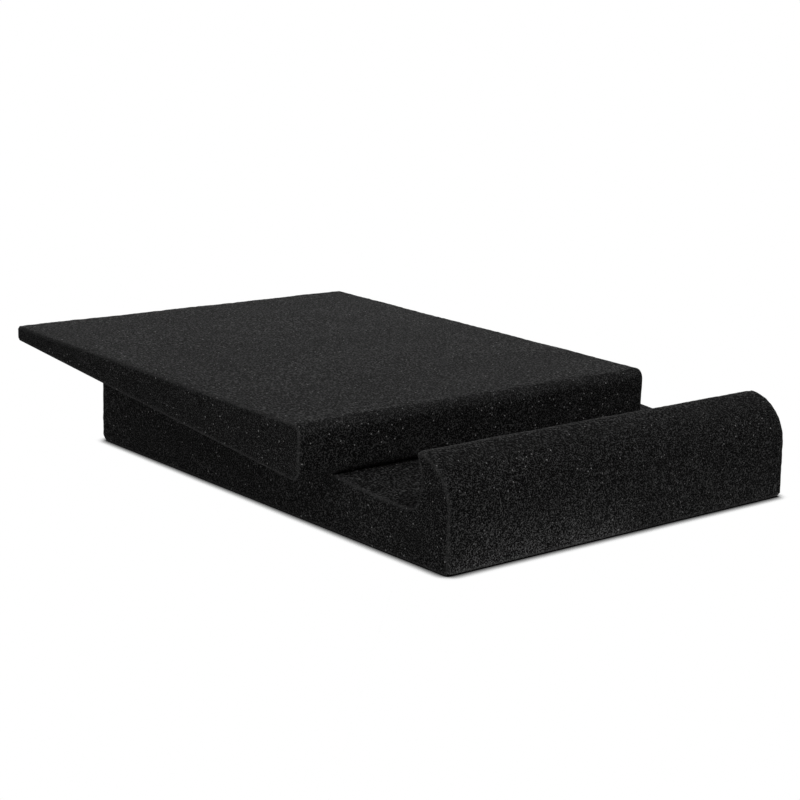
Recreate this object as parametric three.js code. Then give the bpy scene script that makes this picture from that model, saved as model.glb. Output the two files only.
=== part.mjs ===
// Speaker isolation pad in cut foam: a base whose bed falls towards an upstanding front lip, and a loose
// wedge lying on that bed, slid back and to the left as it is shown.
// Millimetres, +Z up, lip to the front (-Y). The origin is the centre of the base's underside.
import * as THREE from 'three';

// Both pieces are cut from one block, so they share its width.
const PAD_WIDTH = 200;

// Base block
const BASE_LENGTH = 255.5;

// Lip: quarter round outside up to its tip, and hollowed inside. The drop is from the tip down to the
// hollow's deepest point.
const LIP_HEIGHT = 45.6;
const LIP_RADIUS = 21.1;
const HOLLOW_DEPTH = 3.9;
const HOLLOW_DROP = 11.6;

// Level gutter between the lip and the bed. Its width is from under the tip to where the bed starts.
const GUTTER_HEIGHT = 22;
const GUTTER_WIDTH = 23.5;
const GUTTER_RADIUS = 3;

// The bed climbs from the gutter to the rear.
const BED_ANGLE = THREE.MathUtils.degToRad(4.78);
const BED_START = LIP_RADIUS + GUTTER_WIDTH;

// Wedge: thickness is square to its top face, which both of its ends are square to
const WEDGE_FRONT = 24.1;
const WEDGE_REAR = 7.1;
const WEDGE_NOSE_RADIUS = 4.5;
const WEDGE_END_PLAY = 2;

// Where the wedge lies: its front edge behind the bed's start, and its side past the base's side
const WEDGE_SET_BACK = 24.4;
const WEDGE_OVERHANG = 20.6;
const SEAT_CLEARANCE = 0.3;

// The knife leaves every arris slightly soft. Corners of a profile are rounder than the bevel of its side
// faces, so that the bevelled outline still has a radius of its own.
const EDGE_BEVEL = 0.5;
const CORNER_RADIUS = 1.3 * EDGE_BEVEL;
const BEVEL_STEPS = 2;
const ARC_STEPS = 8;
const MERGE_DISTANCE = 1e-5;

const foamFinish = { color: 0x2b2b2c, roughness: 0.95, metalness: 0 };

const point = (y, z) => new THREE.Vector2(y, z);
const angleOf = (centre, rim) => Math.atan2(rim.y - centre.y, rim.x - centre.x);

// The point of a circle that lies on the line from its centre through another point.
function rimTowards(centre, radius, other) {
  return other.clone().sub(centre).setLength(radius).add(centre);
}

function arcTo(path, centre, radius, from, to, clockwise) {
  path.absarc(centre.x, centre.y, radius, angleOf(centre, from), angleOf(centre, to), clockwise);
}

// Rounds the corner between two straight runs. The run up to it joins itself to the arc's start.
function roundCorner(path, before, corner, after, radius) {
  const back = before.clone().sub(corner).normalize();
  const onward = after.clone().sub(corner).normalize();
  const half = Math.acos(back.dot(onward)) / 2;
  const reach = radius / Math.tan(half);
  const centre = back.clone().add(onward).setLength(radius / Math.sin(half)).add(corner);
  const start = back.clone().multiplyScalar(reach).add(corner);
  const end = onward.clone().multiplyScalar(reach).add(corner);
  arcTo(path, centre, radius, start, end, back.cross(onward) > 0);
}

function outlineOf(path) {
  const points = path.getPoints(ARC_STEPS);
  return points.filter((p, i) => p.distanceTo(points[(i + 1) % points.length]) > MERGE_DISTANCE);
}

// Extrudes a profile drawn as (distance rearwards, height) across the pad, centred on the YZ plane.
function foamBlock(name, path) {
  const geometry = new THREE.ExtrudeGeometry(new THREE.Shape(outlineOf(path)), {
    depth: PAD_WIDTH - 2 * EDGE_BEVEL,
    bevelEnabled: true,
    bevelThickness: EDGE_BEVEL,
    bevelSize: EDGE_BEVEL,
    bevelOffset: -EDGE_BEVEL,
    bevelSegments: BEVEL_STEPS,
  });
  geometry.translate(0, 0, EDGE_BEVEL - PAD_WIDTH / 2);
  const mesh = new THREE.Mesh(geometry, new THREE.MeshStandardMaterial(foamFinish));
  mesh.name = name;
  mesh.rotation.set(Math.PI / 2, Math.PI / 2, 0);
  return mesh;
}

// Height of the bed above the underside, at a distance behind the front face
function bedHeight(y) {
  return GUTTER_HEIGHT + (y - BED_START) * Math.tan(BED_ANGLE);
}

function basePad() {
  const frontFoot = point(0, 0);
  const rearFoot = point(BASE_LENGTH, 0);
  const rearTop = point(BASE_LENGTH, bedHeight(BASE_LENGTH));
  const bedStart = point(BED_START, GUTTER_HEIGHT);

  // The outside round ends level at the tip. The hollow's circle runs from the tip through its deepest
  // point, where it is upright.
  const roundCentre = point(LIP_RADIUS, LIP_HEIGHT - LIP_RADIUS);
  const hollowRadius = (HOLLOW_DEPTH ** 2 + HOLLOW_DROP ** 2) / (2 * HOLLOW_DEPTH);
  const hollowCentre = point(LIP_RADIUS - HOLLOW_DEPTH + hollowRadius, LIP_HEIGHT - HOLLOW_DROP);

  // The softened tip touches the outside round from within and the hollow's circle from without.
  const tipToRound = LIP_RADIUS - CORNER_RADIUS;
  const tipToHollow = hollowRadius + CORNER_RADIUS;
  const apart = roundCentre.distanceTo(hollowCentre);
  const along = (tipToRound ** 2 - tipToHollow ** 2 + apart ** 2) / (2 * apart);
  const aside = Math.sqrt(tipToRound ** 2 - along ** 2);
  const axis = hollowCentre.clone().sub(roundCentre).normalize();
  const across = point(-axis.y, axis.x);
  const tipCentre = roundCentre.clone().addScaledVector(axis, along).addScaledVector(across, aside);

  // The gutter's fillet touches the hollow's circle from within and the level floor.
  const filletRise = hollowCentre.y - GUTTER_HEIGHT - GUTTER_RADIUS;
  const filletRun = Math.sqrt((hollowRadius - GUTTER_RADIUS) ** 2 - filletRise ** 2);
  const filletCentre = point(hollowCentre.x - filletRun, GUTTER_HEIGHT + GUTTER_RADIUS);

  const faceTop = point(0, roundCentre.y);
  const tipOuter = rimTowards(roundCentre, LIP_RADIUS, tipCentre);
  const tipInner = rimTowards(hollowCentre, hollowRadius, tipCentre);
  const wallFoot = rimTowards(hollowCentre, hollowRadius, filletCentre);
  const floorStart = point(filletCentre.x, GUTTER_HEIGHT);

  const path = new THREE.Path();
  roundCorner(path, faceTop, frontFoot, rearFoot, CORNER_RADIUS);
  roundCorner(path, frontFoot, rearFoot, rearTop, CORNER_RADIUS);
  roundCorner(path, rearFoot, rearTop, bedStart, CORNER_RADIUS);
  path.lineTo(bedStart.x, bedStart.y);
  arcTo(path, filletCentre, GUTTER_RADIUS, floorStart, wallFoot, true);
  arcTo(path, hollowCentre, hollowRadius, wallFoot, tipInner, true);
  arcTo(path, tipCentre, CORNER_RADIUS, tipInner, tipOuter, false);
  arcTo(path, roundCentre, LIP_RADIUS, tipOuter, faceTop, false);
  path.closePath();

  const mesh = foamBlock('base_pad', path);
  mesh.position.y = -BASE_LENGTH / 2;
  return mesh;
}

// The wedge is drawn lying on its underside, front lower edge at the origin, and then laid on the bed.
function wedgePad() {
  const underside = (BASE_LENGTH - LIP_RADIUS - WEDGE_END_PLAY) / Math.cos(BED_ANGLE);
  const taper = Math.asin((WEDGE_FRONT - WEDGE_REAR) / underside);
  const upright = point(Math.sin(taper), Math.cos(taper));
  const frontFoot = point(0, 0);
  const rearFoot = point(underside, 0);
  const rearTop = rearFoot.clone().addScaledVector(upright, WEDGE_REAR);
  const frontTop = frontFoot.clone().addScaledVector(upright, WEDGE_FRONT);

  const path = new THREE.Path();
  roundCorner(path, frontTop, frontFoot, rearFoot, WEDGE_NOSE_RADIUS);
  roundCorner(path, frontFoot, rearFoot, rearTop, CORNER_RADIUS);
  roundCorner(path, rearFoot, rearTop, frontTop, CORNER_RADIUS);
  roundCorner(path, rearTop, frontTop, frontFoot, WEDGE_NOSE_RADIUS);
  path.closePath();

  const mesh = foamBlock('wedge_pad', path);
  mesh.position.z = SEAT_CLEARANCE;

  const frontEdge = BED_START + WEDGE_SET_BACK;
  const onBed = new THREE.Group();
  onBed.position.set(-WEDGE_OVERHANG, frontEdge - BASE_LENGTH / 2, bedHeight(frontEdge));
  onBed.rotation.x = BED_ANGLE;
  onBed.add(mesh);
  return onBed;
}

const pad = new THREE.Group();
pad.add(basePad(), wedgePad());

export default pad;
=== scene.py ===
"""Speaker isolation pad in charcoal foam: a base with an upstanding front lip, and a loose wedge that lies
on its sloping bed, slid back and to the left. Metres, +Z up, the lip to the front (-Y). The origin is the
centre of the base's underside, as in the CAD frame."""

import math

import bpy
import numpy as np
from mathutils import Matrix, Vector, geometry, noise


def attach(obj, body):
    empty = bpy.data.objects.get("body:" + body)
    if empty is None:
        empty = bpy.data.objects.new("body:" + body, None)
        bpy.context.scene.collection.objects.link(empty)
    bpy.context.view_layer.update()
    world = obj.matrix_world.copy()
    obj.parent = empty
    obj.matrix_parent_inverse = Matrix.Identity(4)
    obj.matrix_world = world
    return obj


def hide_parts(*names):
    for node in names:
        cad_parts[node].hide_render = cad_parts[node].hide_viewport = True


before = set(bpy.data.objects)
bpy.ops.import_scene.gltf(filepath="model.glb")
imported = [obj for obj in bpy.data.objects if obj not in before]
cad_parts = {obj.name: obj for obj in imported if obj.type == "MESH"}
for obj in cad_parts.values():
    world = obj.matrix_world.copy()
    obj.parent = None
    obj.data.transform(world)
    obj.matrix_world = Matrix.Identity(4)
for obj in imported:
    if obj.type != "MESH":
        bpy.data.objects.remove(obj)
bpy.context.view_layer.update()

MM = 0.001

# The pad's sizes, in millimetres, as in the CAD. Profiles are drawn as (distance behind the base's front
# face, height above its underside).
PAD_WIDTH = 200
BASE_LENGTH = 255.5
LIP_HEIGHT = 45.6
LIP_RADIUS = 21.1
HOLLOW_DEPTH = 3.9
HOLLOW_DROP = 11.6
GUTTER_HEIGHT = 22
GUTTER_WIDTH = 23.5
GUTTER_RADIUS = 3
BED_ANGLE = math.radians(4.78)
BED_START = LIP_RADIUS + GUTTER_WIDTH
WEDGE_FRONT = 24.1
WEDGE_REAR = 7.1
WEDGE_NOSE_RADIUS = 4.5
WEDGE_END_PLAY = 2
WEDGE_SET_BACK = 24.4
WEDGE_OVERHANG = 20.6
SEAT_CLEARANCE = 0.3

# How finely the foam is meshed: points along a profile as it is drawn, on its flats and at its arrises.
# Rows of points on a side face are nearer than the points along them, and keep off its outline.
DRAWN_STEP = 0.1
FLAT_STEP = 1.45
ARRIS_STEP = 0.5
SIDE_ROW_STEP = FLAT_STEP * 0.87
SIDE_CLEARANCE = FLAT_STEP * 0.62

# Soft arrises: along a profile, and round both side faces, where a tight bend has less of it.
ARRIS_SOFTNESS = 0.7
SIDE_ARRIS = 0.7
SIDE_ARRIS_STEPS = 4
BEND_RELIEF = 1.5
BEND_RELIEF_BLUR = 0.3

# What counts as an arris: a bend from this sharp (in radians a millimetre), blurred over this length. Beside
# a side face it fades over its own reach, which starts a little way off on the side face itself.
ARRIS_BEND = 0.45
ARRIS_BLUR = 0.8
SIDE_REACH = 1.1
SIDE_FACE_START = 0.9

# The blade leaves a cut face not quite flat, and each arris a little ragged.
FACE_WAVE = 0.16
FACE_WAVE_LENGTH = 26
RAGGED = 0.12
RAGGED_LENGTH = 2.6

# Where three faces meet, the corner has worn round. The base's right end was cut a little out of square, so
# that the lip is shorter at its top there.
WORN_CORNER = 0.8
WORN_REACH = 2.0
WORN_FROM = 0.6
REAR_FOOT_RADIUS = 3.5
OUT_OF_SQUARE = 0.9
OUT_OF_SQUARE_REACH = 60
OUT_OF_SQUARE_RISE = 26

# Faces that lie on something stay flat, and so does the foam for a short way above.
FLOOR_REACH = 4
BED_REACH = 5
WEDGE_SEAT = 1
SEAT_MARGIN = 6


def line(start, end):
    """Points of a straight run, without its last one."""
    start, end = np.array(start, float), np.array(end, float)
    count = max(2, int(np.linalg.norm(end - start) / DRAWN_STEP))
    share = np.linspace(0, 1, count, endpoint=False)[:, None]
    return start + share * (end - start)


def arc(centre, radius, start, end):
    """Points of a circle's arc between two angles in degrees, without its last one."""
    count = max(2, int(abs(math.radians(end - start)) * radius / DRAWN_STEP))
    angle = np.radians(np.linspace(start, end, count, endpoint=False))
    return np.array(centre) + radius * np.c_[np.cos(angle), np.sin(angle)]


def nose(before, corner, after, radius):
    """Points of the round that takes a corner off, and the points where it starts and ends."""
    before, corner, after = (np.array(p, float) for p in (before, corner, after))
    back = (before - corner) / np.linalg.norm(before - corner)
    onward = (after - corner) / np.linalg.norm(after - corner)
    half = math.acos(back @ onward) / 2
    middle = (back + onward) / np.linalg.norm(back + onward)
    centre = corner + middle * radius / math.sin(half)
    start = corner + back * radius / math.tan(half)
    end = corner + onward * radius / math.tan(half)
    first = math.degrees(math.atan2(*(start - centre)[::-1]))
    last = math.degrees(math.atan2(*(end - centre)[::-1]))
    turn = (last - first + 180) % 360 - 180
    return arc(centre, radius, first, first + turn), start, end


def bed_height(y):
    """Height of the sloping bed above the underside."""
    return GUTTER_HEIGHT + (y - BED_START) * math.tan(BED_ANGLE)


def base_profile():
    """Front face, quarter round of the lip, its hollow, gutter, bed, rear face and underside."""
    round_centre = (LIP_RADIUS, LIP_HEIGHT - LIP_RADIUS)
    hollow_radius = (HOLLOW_DEPTH**2 + HOLLOW_DROP**2) / (2 * HOLLOW_DEPTH)
    hollow_centre = (LIP_RADIUS - HOLLOW_DEPTH + hollow_radius, LIP_HEIGHT - HOLLOW_DROP)
    tip_angle = math.degrees(math.atan2(HOLLOW_DROP, LIP_RADIUS - hollow_centre[0]))
    fillet_rise = hollow_centre[1] - GUTTER_HEIGHT - GUTTER_RADIUS
    fillet_run = math.sqrt((hollow_radius - GUTTER_RADIUS) ** 2 - fillet_rise**2)
    fillet_centre = (hollow_centre[0] - fillet_run, GUTTER_HEIGHT + GUTTER_RADIUS)
    foot_angle = 180 + math.degrees(math.atan2(fillet_rise, fillet_run))
    bed_start = (BED_START, GUTTER_HEIGHT)
    rear_top = (BASE_LENGTH, bed_height(BASE_LENGTH))
    foot, foot_start, foot_end = nose(rear_top, (BASE_LENGTH, 0), (0, 0), REAR_FOOT_RADIUS)
    return np.vstack(
        [
            line((0, 0), (0, round_centre[1])),
            arc(round_centre, LIP_RADIUS, 180, 90),
            arc(hollow_centre, hollow_radius, tip_angle, foot_angle),
            arc(fillet_centre, GUTTER_RADIUS, foot_angle, 270),
            line((fillet_centre[0], GUTTER_HEIGHT), bed_start),
            line(bed_start, rear_top),
            line(rear_top, foot_start),
            foot,
            line(foot_end, (0, 0)),
        ]
    )


def wedge_profile():
    """The wedge as it lies on the bed, drawn on its underside first. Both ends are square to its top."""
    underside = (BASE_LENGTH - LIP_RADIUS - WEDGE_END_PLAY) / math.cos(BED_ANGLE)
    taper = math.asin((WEDGE_FRONT - WEDGE_REAR) / underside)
    upright = np.array((math.sin(taper), math.cos(taper)))
    front_foot, rear_foot = np.array((0.0, 0.0)), np.array((underside, 0.0))
    front_top, rear_top = front_foot + WEDGE_FRONT * upright, rear_foot + WEDGE_REAR * upright
    lower, lower_start, lower_end = nose(rear_foot, front_foot, front_top, WEDGE_NOSE_RADIUS)
    upper, upper_start, upper_end = nose(front_foot, front_top, rear_top, WEDGE_NOSE_RADIUS)
    drawn = np.vstack(
        [
            lower,
            line(lower_end, upper_start),
            upper,
            line(upper_end, rear_top),
            line(rear_top, rear_foot),
            line(rear_foot, lower_start),
        ]
    )
    drawn[:, 1] += SEAT_CLEARANCE
    cos, sin = math.cos(BED_ANGLE), math.sin(BED_ANGLE)
    front = BED_START + WEDGE_SET_BACK
    return np.c_[
        front + cos * drawn[:, 0] - sin * drawn[:, 1],
        bed_height(front) + sin * drawn[:, 0] + cos * drawn[:, 1],
    ]


def evenly_spaced(outline, step):
    """Points of a closed outline, a step apart."""
    closed = np.vstack([outline, outline[:1]])
    run = np.r_[0, np.cumsum(np.linalg.norm(np.diff(closed, axis=0), axis=1))]
    count = int(run[-1] / step)
    marks = np.arange(count) / count * run[-1]
    return np.c_[[np.interp(marks, run, closed[:, k]) for k in (0, 1)]].T


def round_smoothed(values, softness):
    """Values along a closed outline, blurred over a length in millimetres."""
    waves = np.fft.fft(values, axis=0)
    reach = np.exp(-2 * (math.pi * softness * np.fft.fftfreq(len(values), DRAWN_STEP)) ** 2)
    return np.fft.ifft(waves * (reach[:, None] if waves.ndim > 1 else reach), axis=0).real


def foam_outline(profile):
    """The profile with soft arrises and closer points along them, each point's outward direction, how much
    each point belongs to an arris, and how far the side faces' soft arris may cut in there."""
    soft = round_smoothed(evenly_spaced(profile, DRAWN_STEP), ARRIS_SOFTNESS)
    along = np.roll(soft, -1, axis=0) - np.roll(soft, 1, axis=0)
    heading = np.unwrap(np.arctan2(along[:, 1], along[:, 0]))
    turning = np.gradient(heading) / DRAWN_STEP
    bend = np.abs(turning)
    bulge = np.maximum(turning * np.sign(turning.sum()), 0)
    arris, curved = (np.clip(round_smoothed(v, ARRIS_BLUR) / ARRIS_BEND, 0, 1) for v in (bulge, bend))
    closeness = 1 / FLAT_STEP + (1 / ARRIS_STEP - 1 / FLAT_STEP) * curved
    total = np.cumsum(closeness) * DRAWN_STEP
    picks = np.searchsorted(total, np.linspace(0, total[-1], int(total[-1]), endpoint=False))
    picks = np.unique(np.clip(picks, 0, len(soft) - 1))
    outward = np.c_[-along[:, 1], along[:, 0]] / np.linalg.norm(along, axis=1)[:, None]
    cut = SIDE_ARRIS / (1 + BEND_RELIEF * np.maximum(round_smoothed(bend, BEND_RELIEF_BLUR), 0))
    return soft[picks], outward[picks], arris[picks], cut[picks]


def inside(points, outline):
    """Which points lie inside a closed outline."""
    a, b = outline, np.roll(outline, -1, axis=0)
    y, z = points[:, :1], points[:, 1:]
    crosses = (a[:, 1] > z) != (b[:, 1] > z)
    rise = np.where(b[:, 1] == a[:, 1], 1e-9, b[:, 1] - a[:, 1])
    at = a[:, 0] + (z - a[:, 1]) * (b[:, 0] - a[:, 0]) / rise
    return (crosses & (y < at)).sum(axis=1) % 2 == 1


def distances(points, outline):
    """How far each point is from each point of an outline."""
    return np.array([np.hypot(*(outline - p).T) for p in points])


def side_face(outline):
    """Triangles that fill a side face, as (its inner points, triangles over the outline and them)."""
    low, high = outline.min(axis=0), outline.max(axis=0)
    grid = []
    for k, z in enumerate(np.arange(low[1], high[1], SIDE_ROW_STEP)):
        start = low[0] + FLAT_STEP * (k % 2) / 2
        grid += [(y, z) for y in np.arange(start, high[0], FLAT_STEP)]
    grid = np.array(grid)
    grid = grid[inside(grid, outline)]
    inner = grid[distances(grid, outline).min(axis=1) > SIDE_CLEARANCE]
    points = [Vector(p) for p in np.vstack([outline, inner])]
    count = len(outline)
    rim = [(k, (k + 1) % count) for k in range(count)]
    made = geometry.delaunay_2d_cdt(points, rim, [], 1, 1e-5)
    if len(made[0]) != len(points):
        raise ValueError("the side face gained or lost points")
    order = [original[0] for original in made[3]]
    return inner, [[order[k] for k in face] for face in made[2]]


def wave(points, length, seed):
    """Smooth random heights, mostly from -1 to 1, that change over a length in millimetres."""
    shift = seed * Vector((7.3, 3.1, 5.7))
    noise_peak = 0.625
    return np.array([noise.noise(Vector(p) / length + shift) for p in points]) / noise_peak


def swept_foam(profile, left):
    """A profile swept from its left side face across the pad's width: points, faces, how much each point
    belongs to an arris, and how much it is worn."""
    outline, outward, arris, cut = foam_outline(profile)
    count = len(outline)
    turns = np.linspace(0, math.pi / 2, SIDE_ARRIS_STEPS + 1)
    edge = [(SIDE_ARRIS * (1 - math.cos(t)), 1 - math.sin(t)) for t in turns]
    middle = np.linspace(SIDE_ARRIS, PAD_WIDTH - SIDE_ARRIS, int(PAD_WIDTH / FLAT_STEP))[1:-1]
    right_edge = [(PAD_WIDTH - x, inset) for x, inset in reversed(edge)]
    stations = edge + [(x, 0) for x in middle] + right_edge
    sharp = np.clip((arris - WORN_FROM) / (1 - WORN_FROM), 0, 1)
    rings, weights, worn = [], [], []
    for x, inset in stations:
        ring = outline - outward * (inset * cut)[:, None]
        rings.append(np.c_[np.full(count, left + x), ring])
        near_side = min(x, PAD_WIDTH - x)
        side = math.exp(-((near_side / SIDE_REACH) ** 2))
        weights.append(np.maximum(arris, side))
        worn.append(sharp * math.exp(-((near_side / WORN_REACH) ** 2)))
    faces = []
    for k in range(len(stations) - 1):
        here, there = k * count, (k + 1) * count
        for i in range(count):
            j = (i + 1) % count
            faces.append((here + i, there + i, there + j, here + j))
    points, weight, worn = np.vstack(rings), np.concatenate(weights), np.concatenate(worn)
    for rim_start, x, is_left in ((0, 0, True), ((len(stations) - 1) * count, PAD_WIDTH, False)):
        rim = points[rim_start : rim_start + count, 1:]
        inner, triangles = side_face(rim)
        first = len(points)
        points = np.vstack([points, np.c_[np.full(len(inner), left + x), inner]])
        far = distances(inner, rim)
        near_rim = far.min(axis=1) + SIDE_FACE_START
        weight = np.concatenate([weight, np.exp(-((near_rim / SIDE_REACH) ** 2))])
        worn = np.concatenate([worn, (sharp * np.exp(-((far / WORN_REACH) ** 2))).max(axis=1)])
        for face in triangles:
            face = [rim_start + k if k < count else first + k - count for k in face]
            faces.append(tuple(reversed(face)) if is_left else tuple(face))
    return points, faces, weight, worn


def foam_block(name, profile, left, resting, seed, short_end=False):
    """A block cut to a profile. resting gives, for each point, how free it is to stand off its flat: 0 where
    it lies on something. A short end is cut out of square at the right."""
    points, faces, weight, worn = swept_foam(profile, left)
    mesh = bpy.data.meshes.new(name)
    mesh.from_pydata((points * MM).tolist(), [], faces)
    mesh.validate()
    mesh.update()
    normals = np.zeros(len(points) * 3)
    mesh.vertices.foreach_get("normal", normals)
    normals = normals.reshape(-1, 3)
    free = resting(points)
    height = FACE_WAVE * wave(points, FACE_WAVE_LENGTH, seed) * free
    height += RAGGED * wave(points, RAGGED_LENGTH, seed + 1) * weight * np.clip(free * 2, 0, 1)
    height -= WORN_CORNER * worn
    points = points + normals * height[:, None]
    if short_end:
        near_lip = np.clip(1 - points[:, 1] / OUT_OF_SQUARE_REACH, 0, 1)
        high_up = np.clip(points[:, 2] / OUT_OF_SQUARE_RISE, 0, 1)
        to_the_right = np.clip(points[:, 0] / (PAD_WIDTH / 2), 0, 1)
        points[:, 0] -= OUT_OF_SQUARE * near_lip * high_up * to_the_right
    mesh.vertices.foreach_set("co", (points - (0, BASE_LENGTH / 2, 0)).ravel() * MM)
    mesh.polygons.foreach_set("use_smooth", np.ones(len(mesh.polygons), bool))
    # The arris weight, which the foam's colour uses for its painted highlight along the arrises.
    arris_highlight_weights = mesh.attributes.new("arris", "FLOAT", "POINT")
    arris_highlight_weights.data.foreach_set("value", weight.astype(np.float32))
    mesh.update()
    piece = bpy.data.objects.new(name, mesh)
    bpy.context.scene.collection.objects.link(piece)
    return piece


def base_rest(points):
    """The base stands on its underside, and the wedge lies on its bed."""
    y, z = points[:, 1], points[:, 2]
    off_floor = np.clip(z / FLOOR_REACH, 0, 1)
    under_wedge = y > BED_START + WEDGE_SET_BACK - SEAT_MARGIN
    off_wedge = np.where(under_wedge, np.clip(np.abs(z - bed_height(y)) / BED_REACH, 0, 1), 1)
    return off_floor * off_wedge


def wedge_rest(points):
    """The wedge lies on the bed."""
    above = points[:, 2] - bed_height(points[:, 1])
    return np.clip((above - WEDGE_SEAT) / BED_REACH, 0, 1)


def linear(hex_colour):
    """An sRGB hex colour as linear RGBA."""
    parts = [int(hex_colour[k : k + 2], 16) / 255 for k in (1, 3, 5)]
    return [c / 12.92 if c <= 0.04045 else ((c + 0.055) / 1.055) ** 2.4 for c in parts] + [1.0]


def add_node(tree, kind, inputs=None, **settings):
    """Adds a node, sets its properties, and links or sets its inputs by name or number."""
    node = tree.nodes.new(kind)
    for key, value in settings.items():
        setattr(node, key, value)
    for key, value in (inputs or {}).items():
        if isinstance(value, bpy.types.NodeSocket):
            tree.links.new(value, node.inputs[key])
        else:
            node.inputs[key].default_value = value
    return node


def charcoal_foam():
    """Polyurethane foam with open cells, dyed charcoal right through and cut with a blade. To the eye it is
    a dead matt black-grey grain: pale cell walls round dark pores, here and there a painted glint where a
    wall would catch the light, and a painted highlight along the arrises, where light gets at their cells
    from both sides."""
    upright_pore = 0.56 * MM
    level_pore = 0.88 * MM
    pore_edge = {"From Min": 0.25, "From Max": 0.75}
    thinness = 3.5
    arris_highlight_strength = 0.38
    dye_patch = 12 * MM
    glint_spacing = 2.8 * MM
    glint_edge = {"From Min": 0.06, "From Max": 0.13}
    material = bpy.data.materials.new("charcoal_polyurethane_foam")
    material.use_nodes = True
    tree = material.node_tree
    tree.nodes.clear()
    place = add_node(tree, "ShaderNodeTexCoord").outputs["Object"]

    # Pores: dark in the middle of each cell, with pale walls between cells, and each cell its own openness.
    # The real cells are finer than can be seen. They are drawn as coarse as they need to be to show as
    # grain, and coarser on level faces, which are mostly seen at a flat angle. Along each arris a painted
    # highlight lightens the colour in a thin pale line, where light gets at the cells from two sides.
    cuts = []
    for size in (upright_pore, level_pore):
        cells = add_node(tree, "ShaderNodeTexVoronoi", {"Vector": place, "Scale": 1 / size}, feature="F1")
        wall = add_node(
            tree,
            "ShaderNodeMapRange",
            {"Value": cells.outputs["Distance"], **pore_edge},
            interpolation_type="SMOOTHSTEP",
        ).outputs["Result"]
        thin = add_node(tree, "ShaderNodeMath", {0: wall, 1: thinness}, operation="POWER").outputs["Value"]
        chance = add_node(tree, "ShaderNodeSeparateColor", {"Color": cells.outputs["Color"]})
        openness = add_node(
            tree, "ShaderNodeMapRange", {"Value": chance.outputs["Red"], "To Min": 0.1, "To Max": 1.9}
        ).outputs["Result"]
        pale = add_node(tree, "ShaderNodeMath", {0: thin, 1: openness}, operation="MULTIPLY")
        cuts.append((wall, pale.outputs["Value"]))
    facing = add_node(tree, "ShaderNodeNewGeometry").outputs["Normal"]
    rise = add_node(tree, "ShaderNodeSeparateXYZ", {"Vector": facing}).outputs["Z"]
    level = add_node(
        tree, "ShaderNodeMapRange", {"Value": rise, "From Min": 0.8, "From Max": 0.98}
    ).outputs["Result"]
    wall, pale = (
        add_node(tree, "ShaderNodeMix", {"Factor": level, "A": upright, "B": flat}).outputs["Result"]
        for upright, flat in zip(*cuts)
    )
    # Painted highlight: the arris weight lightens the foam's colour along every arris.
    arris = add_node(tree, "ShaderNodeAttribute", attribute_name="arris").outputs["Fac"]
    arris_highlight = add_node(tree, "ShaderNodeMath", {0: arris, 1: 2.0}, operation="POWER").outputs["Value"]
    grain_and_arris_highlight = add_node(
        tree, "ShaderNodeMath", {0: arris_highlight, 1: arris_highlight_strength, 2: pale}, operation="MULTIPLY_ADD"
    ).outputs["Value"]
    grain = add_node(
        tree,
        "ShaderNodeMix",
        {"Factor": grain_and_arris_highlight, "A": linear("#040404"), "B": linear("#4a4a4a")},
        data_type="RGBA",
    ).outputs["Result"]

    # The dye is not quite even.
    dye = add_node(
        tree,
        "ShaderNodeTexNoise",
        {"Vector": place, "Scale": 1 / dye_patch, "Detail": 3.0, "Roughness": 0.55},
    ).outputs["Fac"]
    shade = add_node(
        tree,
        "ShaderNodeMapRange",
        {"Value": dye, "From Min": 0.3, "From Max": 0.7, "To Min": 0.93, "To Max": 1.07},
    ).outputs["Result"]
    toned = add_node(
        tree, "ShaderNodeVectorMath", {0: grain, "Scale": shade}, operation="SCALE"
    ).outputs["Vector"]

    # Painted glints: here and there a light-grey speck is painted into the colour, where a cell wall
    # would throw the light back.
    glints = add_node(
        tree, "ShaderNodeTexVoronoi", {"Vector": place, "Scale": 1 / glint_spacing}, feature="F1"
    )
    spot = add_node(
        tree,
        "ShaderNodeMapRange",
        {"Value": glints.outputs["Distance"], "To Min": 1.0, "To Max": 0.0, **glint_edge},
    ).outputs["Result"]
    bright = add_node(tree, "ShaderNodeSeparateColor", {"Color": glints.outputs["Color"]})
    glint = add_node(
        tree, "ShaderNodeMath", {0: spot, 1: bright.outputs["Green"]}, operation="MULTIPLY"
    ).outputs["Value"]
    with_painted_glints = add_node(
        tree,
        "ShaderNodeMix",
        {"Factor": glint, "A": toned, "B": linear("#b4b4b4")},
        data_type="RGBA",
    ).outputs["Result"]

    relief = add_node(
        tree,
        "ShaderNodeBump",
        {"Height": wall, "Strength": 0.15, "Distance": 0.2 * MM},
    ).outputs["Normal"]
    roughness = add_node(
        tree, "ShaderNodeMapRange", {"Value": wall, "To Min": 1.0, "To Max": 0.88}
    ).outputs["Result"]
    shader = add_node(
        tree,
        "ShaderNodeBsdfPrincipled",
        {
            "Base Color": with_painted_glints,
            "Roughness": roughness,
            "IOR": 1.5,
            "Specular IOR Level": 0.03,
            "Normal": relief,
        },
    )
    add_node(tree, "ShaderNodeOutputMaterial", {"Surface": shader.outputs["BSDF"]})
    return material


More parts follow.
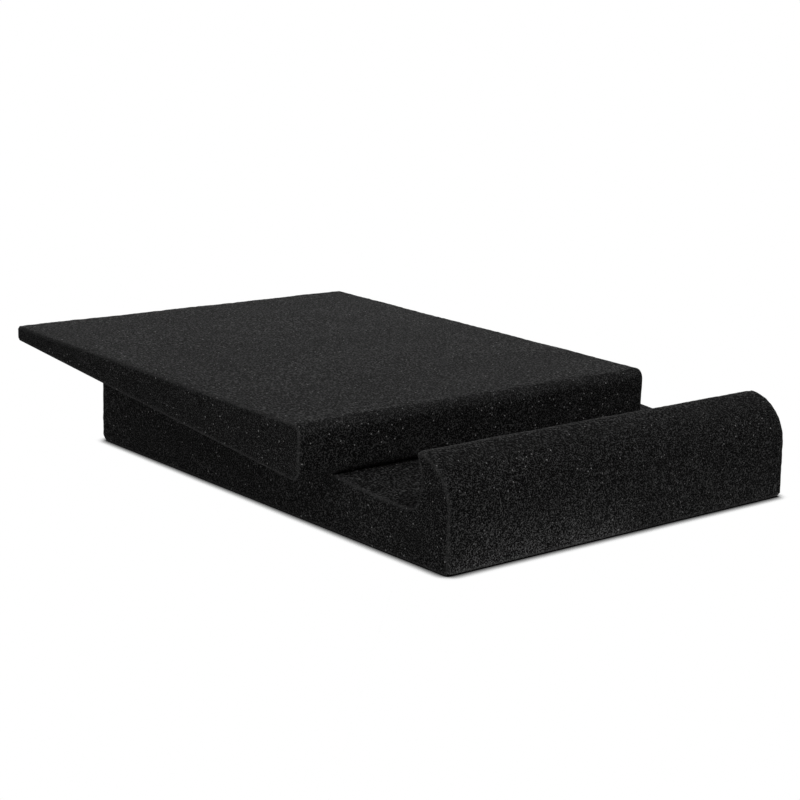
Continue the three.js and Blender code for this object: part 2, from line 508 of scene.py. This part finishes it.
def photo_camera():
    """The camera at the photograph's angle, height and distance."""
    place = (-0.552175, -0.635074, 0.227487)
    azimuth, elevation, roll = (math.radians(v) for v in (-40.015, 13.096, -1.633))
    back = Vector(
        (
            math.sin(azimuth) * math.cos(elevation),
            -math.cos(azimuth) * math.cos(elevation),
            math.sin(elevation),
        )
    )
    level = Vector((math.cos(azimuth), math.sin(azimuth), 0))
    upright = back.cross(level)
    right = math.cos(roll) * level - math.sin(roll) * upright
    up = math.sin(roll) * level + math.cos(roll) * upright
    camera = bpy.data.objects.new("photo_camera", bpy.data.cameras.new("photo_camera"))
    camera.data.sensor_width = 36
    camera.data.lens = 83.406
    turn = Matrix((right, up, back)).transposed()
    camera.matrix_world = Matrix.Translation(place) @ turn.to_4x4()
    camera.data.clip_start, camera.data.clip_end = 0.01, 50
    bpy.context.scene.collection.objects.link(camera)
    bpy.context.scene.camera = camera


def softbox(name, place, aim, size, power):
    """A studio lamp with an even rectangular face that points at a place."""
    lamp = bpy.data.lights.new(name, "AREA")
    lamp.shape, lamp.energy = "RECTANGLE", power
    lamp.size, lamp.size_y = size
    stand = bpy.data.objects.new(name, lamp)
    stand.location = place
    stand.rotation_euler = (Vector(aim) - Vector(place)).to_track_quat("-Z", "Y").to_euler()
    stand.visible_camera = False
    bpy.context.scene.collection.objects.link(stand)


def seen_by_eye(tree):
    """1 for rays that the camera sees straight, mirrored or through glass, otherwise 0."""
    path = add_node(tree, "ShaderNodeLightPath")
    straight = add_node(
        tree,
        "ShaderNodeMath",
        {0: path.outputs["Is Camera Ray"], 1: path.outputs["Is Glossy Ray"]},
        operation="MAXIMUM",
    ).outputs["Value"]
    return add_node(
        tree,
        "ShaderNodeMath",
        {0: straight, 1: path.outputs["Is Transmission Ray"]},
        operation="MAXIMUM",
    ).outputs["Value"]


def studio():
    """White surround, pale floor and soft lamps."""
    world = bpy.data.worlds.new("studio")
    bpy.context.scene.world = world
    world.use_nodes = True
    tree = world.node_tree
    tree.nodes.clear()
    surround = add_node(
        tree, "ShaderNodeBackground", {"Color": linear("#ffffff"), "Strength": seen_by_eye(tree)}
    )
    add_node(tree, "ShaderNodeOutputWorld", {"Surface": surround.outputs["Background"]})

    # White paper on the floor. The eye sees plain white, with the pad's contact shadow painted into it from
    # ambient occlusion, darkest where the foam meets the paper.
    paper = bpy.data.materials.new("white_paper")
    paper.use_nodes = True
    tree = paper.node_tree
    tree.nodes.clear()
    # Painted shadow: ambient occlusion near the foam dims the white emission that the eye sees.
    openness = add_node(
        tree, "ShaderNodeAmbientOcclusion", {"Distance": 6 * MM}, samples=16
    ).outputs["AO"]
    lightness = add_node(
        tree, "ShaderNodeMapRange", {"Value": openness, "From Min": 0.35, "From Max": 0.9}
    ).outputs["Result"]
    painted_contact_shadow = add_node(
        tree, "ShaderNodeMath", {0: lightness, 1: 1.8}, operation="POWER"
    ).outputs["Value"]
    shaded = add_node(tree, "ShaderNodeBsdfDiffuse", {"Color": linear("#bcbcbc")})
    white = add_node(tree, "ShaderNodeEmission", {"Color": linear("#ffffff"), "Strength": painted_contact_shadow})
    seen = add_node(
        tree,
        "ShaderNodeMixShader",
        {0: seen_by_eye(tree), 1: shaded.outputs["BSDF"], 2: white.outputs["Emission"]},
    )
    add_node(tree, "ShaderNodeOutputMaterial", {"Surface": seen.outputs["Shader"]})
    mesh = bpy.data.meshes.new("floor")
    half = 4.0
    corners = [(-half, -half, 0), (half, -half, 0), (half, half, 0), (-half, half, 0)]
    mesh.from_pydata(corners, [], [(0, 1, 2, 3)])
    mesh.materials.append(paper)
    floor = bpy.data.objects.new("floor", mesh)
    floor.location.z = -0.2 * MM
    bpy.context.scene.collection.objects.link(floor)

    middle, lip = (0, 0, 0.03), (-0.1, -0.128, 0.02)
    softbox("high_front_softbox", (0, -1.03, 1.26), middle, (0.6, 0.6), 9.0)
    softbox("left_softbox", (-1.03, 0, 1.26), middle, (0.6, 0.6), 3.1)
    softbox("low_left_softbox", (-1.39, 0, 0.83), middle, (0.6, 0.6), 0.47)
    softbox("low_right_rear_softbox", (1.11, 1.11, 0.36), middle, (0.6, 0.6), 6.6)
    softbox("low_rear_lamp", (0, 0.55, 0.12), (0, 0.1, 0.05), (0.25, 0.25), 0.82)
    softbox("right_lamp", (0.45, 0, 0.3), (0.08, 0, 0.05), (0.2, 0.2), 0.112)
    softbox("low_left_lamp", (-0.45, -0.1, 0.06), (-0.1, -0.1, 0.02), (0.15, 0.15), 0.24)
    softbox("low_front_lamp", (-0.15, -0.42, 0.04), lip, (0.1, 0.1), 0.016)

    # The white paper right in front of the lip throws light up at it, most of all to the left.
    paper_front = (0, -0.1343, 0.0003)
    softbox("paper_glow", paper_front, (0, -0.1343, 1), (0.2, 0.012), 0.0027)
    paper_left = (-0.05, -0.1358, 0.0003)
    softbox("paper_glow_left", paper_left, (-0.05, -0.1358, 1), (0.1, 0.015), 0.0044)


bpy.context.scene.view_settings.view_transform = "Standard"
photo_camera()
studio()

foam = charcoal_foam()
base_foam = foam_block("base_foam", base_profile(), -PAD_WIDTH / 2, base_rest, 1, short_end=True)
wedge_foam = foam_block("wedge_foam", wedge_profile(), -PAD_WIDTH / 2 - WEDGE_OVERHANG, wedge_rest, 5)
for piece, node in ((base_foam, "base_pad"), (wedge_foam, "wedge_pad")):
    piece.data.materials.append(foam)
    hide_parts(node)
    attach(piece, "root")
